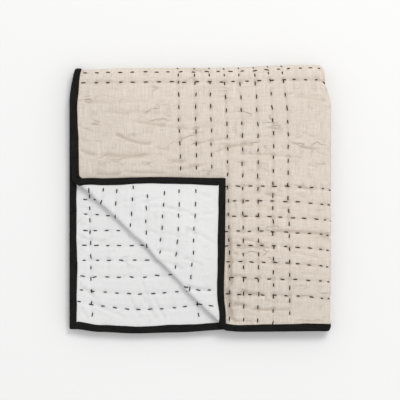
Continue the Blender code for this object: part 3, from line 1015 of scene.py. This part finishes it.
# The small creases, layer by layer: how fine and how thin they are, how much of the cloth is free of them,
# and their depth. They come in patches: PATCH_SCALE is the noise of the patches as a share of theirs, and
# PATCH_EDGE is how sharply a patch ends.
PATCH_SCALE = 0.7
PATCH_EDGE = 7.0
CRUMPLE_LAYERS = (
    {"stretch": (0.9, 1.1, 1.0), "scale": 30.0, "thin": 22.0, "sparse": 0.3, "depth": 1.0},
    {"stretch": (1.2, 0.8, 1.0), "scale": 75.0, "thin": 11.0, "sparse": 0.2, "depth": 0.45},
)


def crumple_group():
    """Thin creases in cloth that has been folded and slept under: their depth, 0 where it is smooth."""
    sockets = {"Place": None, "Across": 1.0, "Along": 1.0}
    group, inputs, outputs = new_group("crumple", sockets, ["Depth"])
    stretch = group.nodes.new("ShaderNodeCombineXYZ")
    group.links.new(inputs.outputs["Across"], stretch.inputs[0])
    group.links.new(inputs.outputs["Along"], stretch.inputs[1])
    stretched = group.nodes.new("ShaderNodeVectorMath")
    stretched.operation = "MULTIPLY"
    group.links.new(inputs.outputs["Place"], stretched.inputs[0])
    group.links.new(stretch.outputs[0], stretched.inputs[1])
    depths = []
    for layer in CRUMPLE_LAYERS:
        waves = noise(group, stretched.outputs[0], layer["stretch"], layer["scale"], roughness=0.45)
        away = maths(group, "ABSOLUTE", maths(group, "SUBTRACT", waves, 0.5))
        line = maths(group, "MULTIPLY_ADD", away, -layer["thin"], 1.0, clamp=True)
        coarser = layer["scale"] * PATCH_SCALE
        where = noise(group, stretched.outputs[0], layer["stretch"], coarser, detail=1.0)
        start = -PATCH_EDGE / 2 - layer["sparse"]
        patch = maths(group, "MULTIPLY_ADD", where, PATCH_EDGE, start, clamp=True)
        sunk = maths(group, "MULTIPLY", maths(group, "MULTIPLY", line, line), patch)
        depths.append(maths(group, "MULTIPLY", sunk, layer["depth"]))
    group.links.new(maths(group, "ADD", *depths), outputs.inputs["Depth"])
    return group


def use_group(tree, group, **values):
    """Places a node group. Plain numbers are set, sockets are linked."""
    node = tree.nodes.new("ShaderNodeGroup")
    node.node_tree = group
    for label, value in values.items():
        socket = node.inputs[label.replace("_", " ")]
        if isinstance(value, (int, float)):
            socket.default_value = value
        else:
            tree.links.new(value, socket)
    return node


def blend_colours(tree, factor, first, second):
    """A colour between two, each a socket or a plain colour."""
    node = tree.nodes.new("ShaderNodeMix")
    node.data_type = "RGBA"
    tree.links.new(factor, node.inputs["Factor"])
    for socket, value in ((node.inputs[6], first), (node.inputs[7], second)):
        if isinstance(value, tuple):
            socket.default_value = (*value, 1.0)
        else:
            tree.links.new(value, socket)
    return node.outputs[2]


def new_material(name, colour, roughness):
    """A Principled material, shown in this colour in plain views. Returns it, its tree and its shader."""
    material = bpy.data.materials.new(name)
    material.use_nodes = True
    material.diffuse_color = (*colour, 1.0)
    tree = material.node_tree
    shader = tree.nodes["Principled BSDF"]
    shader.inputs["Roughness"].default_value = roughness
    shader.inputs["Specular IOR Level"].default_value = 0.15
    return material, tree, shader


def cloth_place(tree):
    """Where a point lies on the flat cloth, in metres."""
    node = tree.nodes.new("ShaderNodeUVMap")
    node.uv_map = "cloth"
    return node.outputs[0]


def raise_surface(tree, shader, height, distance, under=None):
    """Bump of this height, in metres at 1, on the shader's own normal or on the normal under it."""
    bump = tree.nodes.new("ShaderNodeBump")
    bump.inputs["Distance"].default_value = distance
    tree.links.new(height, bump.inputs["Height"])
    if under is not None:
        tree.links.new(under, bump.inputs["Normal"])
    tree.links.new(bump.outputs[0], shader.inputs["Normal"])
    return bump.outputs[0]


WEAVE = plain_weave_group()
SLUB = slub_group()
TONE = cloth_tone_group()
CRUMPLE = crumple_group()

# How strongly each mark shows. The fold one is a factor and the least depth that tells, taken away.
# Folds, small creases and the hollows of the weave are darkened as painted shade; specks and flecks are the
# cloth's own.
DRIFT_SPREAD = 2.2
TINT_SHARE = 0.35
FOLD_PAINTED_SHADE = (1.30, -0.20)
CREASE_PAINTED_SHADE = 0.80
WEAVE_HOLLOW_SHADE = 0.28
SPECK_DARKNESS = 0.12
SLUB_HEIGHT = 1.2


def spread_out(tree, value, factor):
    """This value spread out from its middle at 0.5, kept between 0 and 1."""
    return maths(tree, "MULTIPLY_ADD", maths(tree, "SUBTRACT", value, 0.5), factor, 0.5, clamp=True)


def woven_cloth(name, shades, threads, slub, fleck, warp_share, weave_depth, crumple):
    """A matt woven cloth: its dark, plain, pale and tinted shades, its threads in a metre, how slubby and
    flecked the yarn is, the warp's share of the streaks, the depth of the weave, and how it is crumpled."""
    dark, plain, pale, tint = shades
    material, tree, shader = new_material(name, plain, 0.93)
    place = cloth_place(tree)
    weave = use_group(tree, WEAVE, Place=place, Threads=threads).outputs["Height"]
    slubs = use_group(tree, SLUB, Place=place, Warp_share=warp_share).outputs
    tone = use_group(tree, TONE, Place=place).outputs
    creases = use_group(tree, CRUMPLE, Place=place, Across=crumple["across"], Along=crumple["along"])
    yarn = blend_colours(tree, spread_out(tree, slubs["Streak"], slub), dark, pale)
    drift = spread_out(tree, tone["Drift"], DRIFT_SPREAD)
    tinted = blend_colours(tree, drift, yarn, tint)
    mixed = blend_colours(tree, maths(tree, "MULTIPLY", drift, TINT_SHARE), yarn, tinted)
    # The depth drawn in at stitch troughs and creases is painted in as the shade that falls in them
    drawn_in = tree.nodes.new("ShaderNodeAttribute")
    drawn_in.attribute_name = "drawn_in"
    folds = maths(tree, "MULTIPLY_ADD", drawn_in.outputs["Fac"], *FOLD_PAINTED_SHADE, clamp=True)
    # The small creases add painted shade along their lines
    painted_shade_and_flecks = maths(tree, "MULTIPLY_ADD", creases.outputs["Depth"], CREASE_PAINTED_SHADE, folds)
    # The low places of the weave are painted darker, as painted shade in its hollows
    weave_hollow_shade = maths(tree, "SUBTRACT", 1.0, weave)
    hollow_shade_and_flecks = ((weave_hollow_shade, WEAVE_HOLLOW_SHADE), (tone["Speck"], SPECK_DARKNESS), (slubs["Fleck"], fleck))
    for mark, share in hollow_shade_and_flecks:
        painted_shade_and_flecks = maths(tree, "MULTIPLY_ADD", mark, share, painted_shade_and_flecks, clamp=True)
    shaded = blend_colours(tree, painted_shade_and_flecks, mixed, dark)
    tree.links.new(shaded, shader.inputs["Base Color"])
    sunk = raise_surface(tree, shader, creases.outputs["Depth"], -crumple["depth"])
    height = maths(tree, "MULTIPLY_ADD", slubs["Streak"], SLUB_HEIGHT, weave)
    raise_surface(tree, shader, height, weave_depth, sunk)
    return material


def face_cloth():
    """Oatmeal cotton and linen with uneven yarn."""
    shades = ((0.550, 0.473, 0.398), (0.736, 0.660, 0.576), (0.868, 0.798, 0.715), (0.785, 0.697, 0.622))
    return woven_cloth(
        "face_panel", shades, threads=1500.0, slub=3.1, fleck=0.42, warp_share=0.55,
        weave_depth=0.00018, crumple={"across": 0.75, "along": 1.45, "depth": 0.0012},
    )


def backing_cloth():
    """White cotton, finer and smoother."""
    shades = ((0.66, 0.66, 0.66), (0.755, 0.755, 0.757), (0.81, 0.81, 0.81), (0.76, 0.76, 0.765))
    return woven_cloth(
        "backing_panel", shades, threads=2200.0, slub=1.6, fleck=0.06, warp_share=0.5,
        weave_depth=0.00009, crumple={"across": 1.0, "along": 0.9, "depth": 0.0007},
    )


def binding_cloth():
    """Black cotton, closely woven, with streaky yarn; the hollows of its weave and its small creases are
    painted darker as shade.
    """
    shades = (
        (0.001, 0.001, 0.001),
        (0.0075, 0.0073, 0.0070),
        (0.0190, 0.0182, 0.0174),
        (0.0120, 0.0115, 0.0110),
    )
    return woven_cloth(
        "edge_binding", shades, threads=1900.0, slub=3.5, fleck=0.0, warp_share=0.3,
        weave_depth=0.00012, crumple={"across": 2.0, "along": 2.0, "depth": 0.0006},
    )


THREAD_TWIST = {"strands": 3.0, "turns": 5.0, "depth": 0.0003}


def stitch_thread():
    """Soft black-brown embroidery cotton, its strands twisted round one another."""
    material, tree, shader = new_material("stitch_thread", (0.016, 0.013, 0.011), 0.8)
    split = tree.nodes.new("ShaderNodeSeparateXYZ")
    tree.links.new(cloth_place(tree), split.inputs[0])
    around = maths(tree, "MULTIPLY", split.outputs[0], THREAD_TWIST["strands"])
    strand = ridges(tree, maths(tree, "MULTIPLY_ADD", split.outputs[1], THREAD_TWIST["turns"], around))
    # The strands' ridges are paler and the grooves between them darker: painted shade along the twist
    shade = blend_colours(tree, strand, (0.006, 0.0038, 0.0026), (0.028, 0.018, 0.0115))
    tree.links.new(shade, shader.inputs["Base Color"])
    raise_surface(tree, shader, strand, THREAD_TWIST["depth"])
    return material


# The room. STACK_TOP is the height at which the photo's frame is PHOTO_WIDTH wide.
CAMERA_HEIGHT = 4.0
STACK_TOP = 0.045
PHOTO_WIDTH = 0.80
FLOOR_HALF = 6.0
FLOOR_SHADE = (0.80, 0.80, 0.80)
SURROUND = 0.84


def camera():
    """A camera straight above the middle of the stack, as in the photograph."""
    eye = bpy.data.cameras.new("camera")
    eye.sensor_width = 36.0
    eye.lens = eye.sensor_width * (CAMERA_HEIGHT - STACK_TOP) / PHOTO_WIDTH
    eye.clip_start = 0.1
    eye.clip_end = 50.0
    holder = add_object("camera", eye)
    holder.location = (0.0, 0.0, CAMERA_HEIGHT)
    bpy.context.scene.camera = holder


def area_light(name, place, size, power, colour):
    """A square soft light that looks at the stack."""
    lamp = bpy.data.lights.new(name, "AREA")
    lamp.size = size
    lamp.energy = power
    lamp.color = colour
    holder = add_object(name, lamp)
    holder.location = place
    holder.rotation_mode = "QUATERNION"
    holder.rotation_quaternion = (-Vector(place)).to_track_quat("-Z", "Y")


def room():
    """A pale floor, a soft white surround and one broad light from the upper right."""
    floor_maker = bmesh.new()
    bmesh.ops.create_grid(floor_maker, x_segments=1, y_segments=1, size=FLOOR_HALF)
    material, _, shader = new_material("floor", FLOOR_SHADE, 0.9)
    shader.inputs["Base Color"].default_value = (*FLOOR_SHADE, 1.0)
    floor = as_object(floor_maker, "floor", material)
    world = bpy.data.worlds.new("surround")
    world.use_nodes = True
    background = world.node_tree.nodes["Background"]
    background.inputs["Color"].default_value = (1.0, 1.0, 1.0, 1.0)
    background.inputs["Strength"].default_value = SURROUND
    bpy.context.scene.world = world
    area_light("key", place=(1.4, 2.8, 4.4), size=1.9, power=122.0, colour=(1.0, 0.995, 0.985))
    bpy.context.scene.view_settings.view_transform = "Standard"


def cloth_lines(stretches):
    """Lines across the cloth, from under the binding on. Each stretch runs up to its end at its step."""
    lines = []
    here = UNDER_BINDING
    for end, step in stretches:
        lines += spaced(here, end, step)
        here = end
    return lines + [here]


def main():
    """Sets up the room, makes the seven pieces, and hides the three solid parts they cover."""
    camera()
    room()
    far_side, far_end = WIDTH - UNDER_BINDING, LENGTH - UNDER_BINDING
    face = panel(
        "face_cloth", 1,
        cloth_lines([(U_UNDER + ARC_MARGIN, FINE_STEP), (far_side, HIDDEN_STEP)]),
        cloth_lines([(V_REAR + ARC_MARGIN, FINE_STEP), (far_end, HIDDEN_STEP)]),
        face_surface, face_cloth(),
    )
    backing = panel(
        "backing_cloth", -1,
        cloth_lines([
            (CORNER_REACH, FINE_STEP),
            (U_SIDE - ARC_MARGIN, HIDDEN_STEP),
            (U_UNDER + ARC_MARGIN, ARC_STEP),
            (WIDTH - CORNER_REACH, HIDDEN_STEP),
            (far_side, FINE_STEP),
        ]),
        cloth_lines([
            (CORNER_REACH, FINE_STEP),
            (V_TOP - ARC_MARGIN, HIDDEN_STEP),
            (V_REAR + ARC_MARGIN, ARC_STEP),
            (far_end, HIDDEN_STEP),
        ]),
        backing_surface, backing_cloth(),
    )
    edge = binding("bound_edge", binding_cloth())
    thread = stitch_thread()
    sewing = [
        stitches("face_stitches", FACE_STITCHING, gathered_place, face_surface, 1, thread),
        stitches("rear_stitches", REAR_STITCHING, cut_place, face_surface, 1, thread),
        stitches("flap_stitches", FLAP_STITCHING, flap_place, backing_surface, -1, thread),
        stitches("under_stitches", UNDER_STITCHING, under_place, backing_surface, -1, thread),
    ]
    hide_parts("face_panel")
    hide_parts("backing_panel")
    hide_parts("edge_binding")
    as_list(sewing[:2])
    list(sewing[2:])


main()
